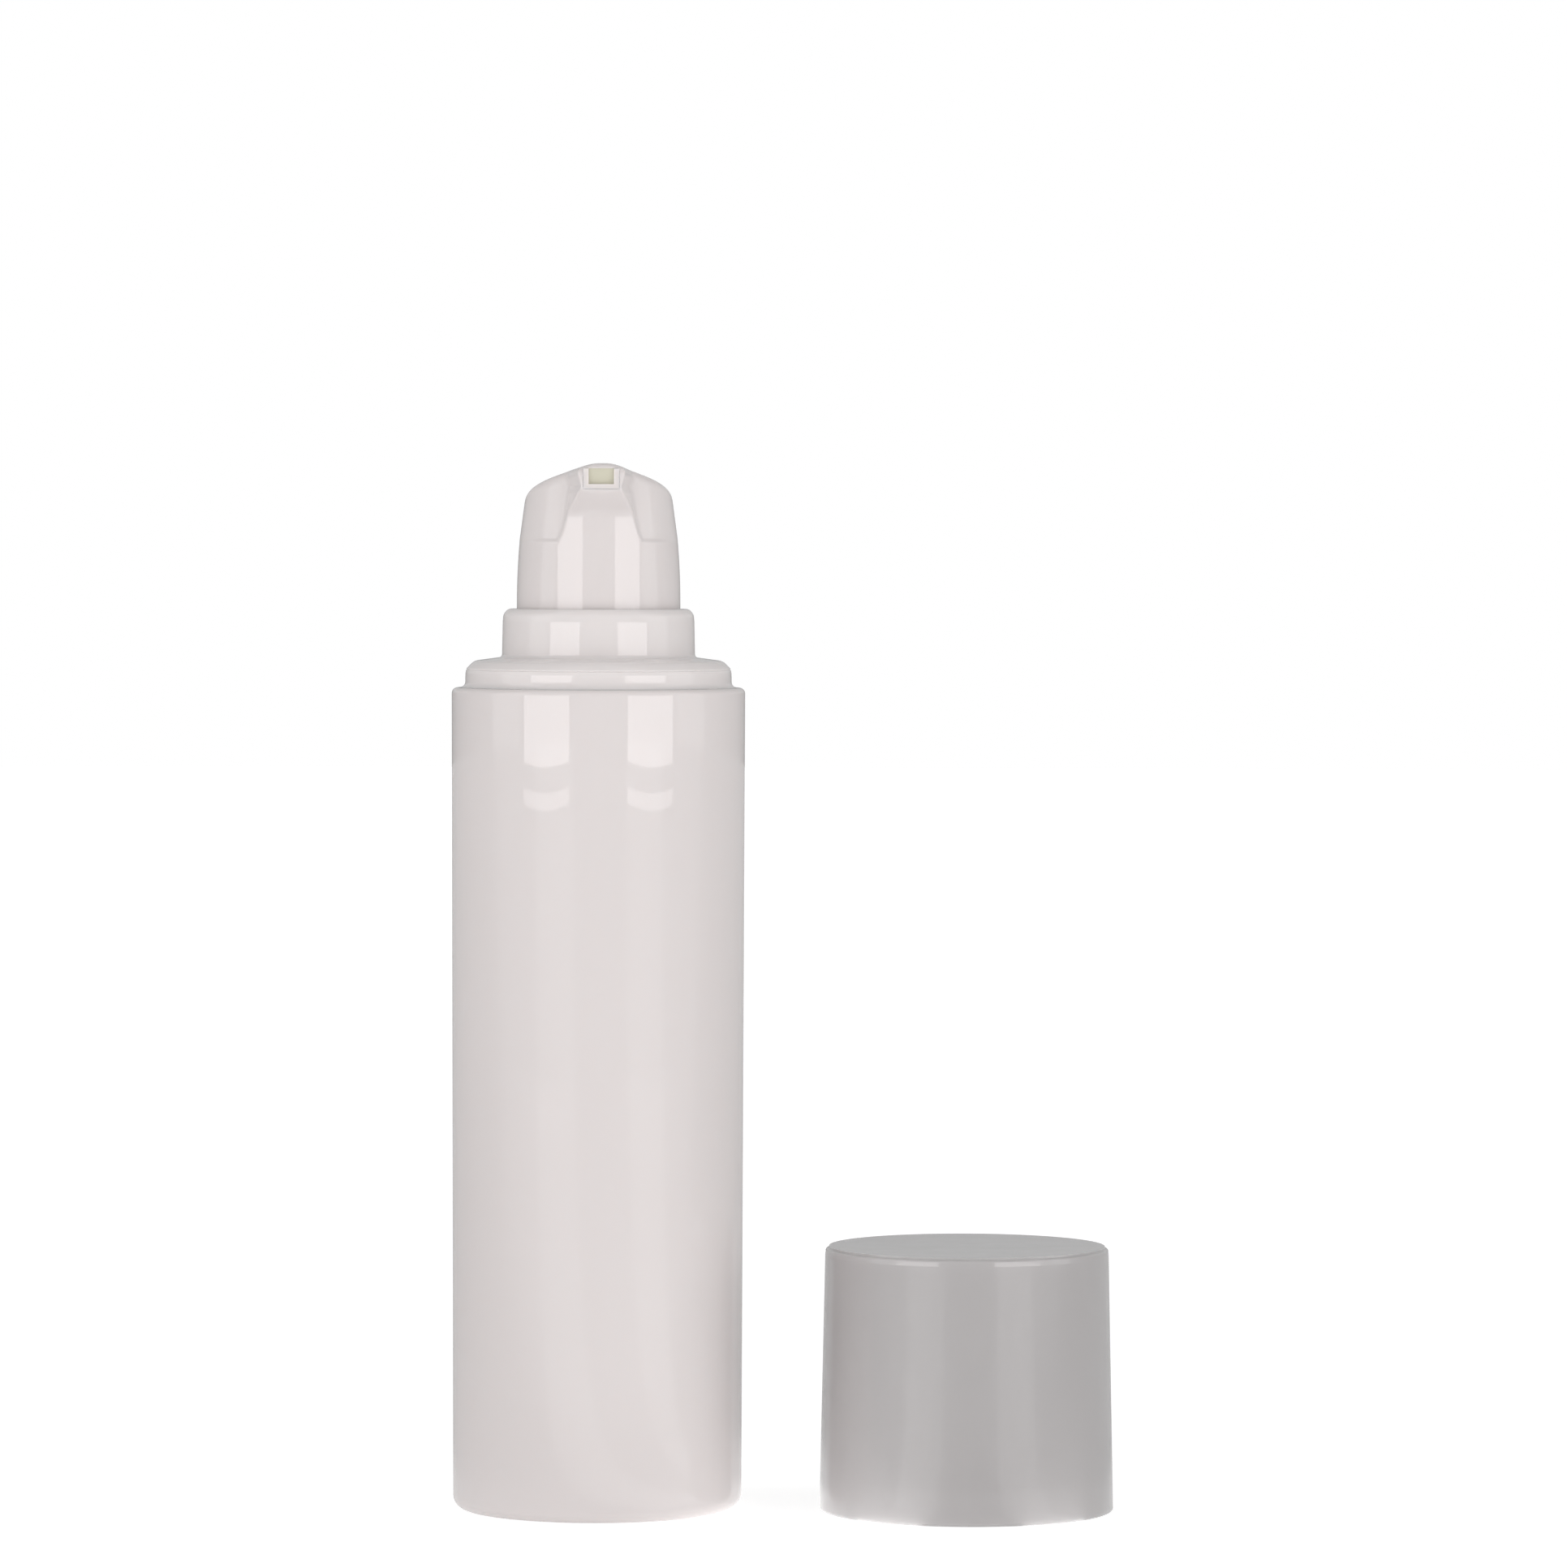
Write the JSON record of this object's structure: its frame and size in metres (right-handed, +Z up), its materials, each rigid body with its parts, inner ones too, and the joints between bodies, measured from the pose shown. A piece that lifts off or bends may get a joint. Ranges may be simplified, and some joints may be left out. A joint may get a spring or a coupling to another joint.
{
  "type": "airless pump bottle",
  "caption": "Tall round airless pump bottle with a snap-in closure, a push button with a short front spout, a follower piston inside, and its overcap standing beside it.",
  "frame": {"origin": "centre of the bottle's base, on its axis, on the surface that it stands on", "axes": "+Z up along the bottle's axis, -Y the way the spout points, +X towards the overcap that stands beside the bottle"},
  "size_m": [0.0756, 0.0374, 0.1194],
  "materials": {
    "white_polypropylene": "moulded gloss, slightly translucent white",
    "white_insert": "moulded gloss",
    "natural_polypropylene": "moulded gloss, cloudy translucent",
    "pump_polypropylene": "moulded, natural",
    "piston_polyethylene": "moulded, soft satin",
    "gasket_rubber": "smooth",
    "ball_steel": "polished",
    "spring_steel": "drawn wire"
  },
  "bodies": {
    "bottle": {"bottle_body": "white_polypropylene", "closure": "white_polypropylene", "neck_gasket": "gasket_rubber", "pump_housing": "pump_polypropylene", "ball_cage": "pump_polypropylene", "housing_cap": "pump_polypropylene", "return_spring": "spring_steel"},
    "inlet_ball": {"inlet_ball": "ball_steel"},
    "stem": {"stem": "pump_polypropylene", "piston_rod": "pump_polypropylene"},
    "pump_piston": {"pump_piston": "piston_polyethylene"},
    "head": {"actuator": "white_polypropylene", "spout_insert": "white_insert"},
    "follower": {"follower_piston": "piston_polyethylene"},
    "cap": {"overcap": "natural_polypropylene"}
  },
  "joints": [
    {"name": "press", "type": "slide", "parent": "bottle", "child": "stem", "axis": [0, 0, -1], "range_m": [0, 0.0055], "stiffness_N_per_m": 1500, "springref_m": -0.0005, "deforming": ["return_spring"]},
    {"name": "ball_lift", "type": "slide", "parent": "bottle", "child": "inlet_ball", "axis": [0, 0, 1], "range_m": [0, 0.0009]},
    {"name": "piston_play", "type": "slide", "parent": "stem", "child": "pump_piston", "axis": [0, 0, 1], "range_m": [0, 0.0007]},
    {"name": "head_turn", "type": "hinge", "parent": "stem", "child": "head", "pos_m": [0, 0, 0.1], "axis": [0, 0, 1], "continuous": true},
    {"name": "follower_rise", "type": "slide", "parent": "bottle", "child": "follower", "axis": [0, 0, 1], "range_m": [0, 0.0655]},
    {"name": "cap_lift", "type": "slide", "parent": "bottle", "child": "cap", "axis": [0, 0, 1], "range_m": [0, 0.125]}
  ]
}
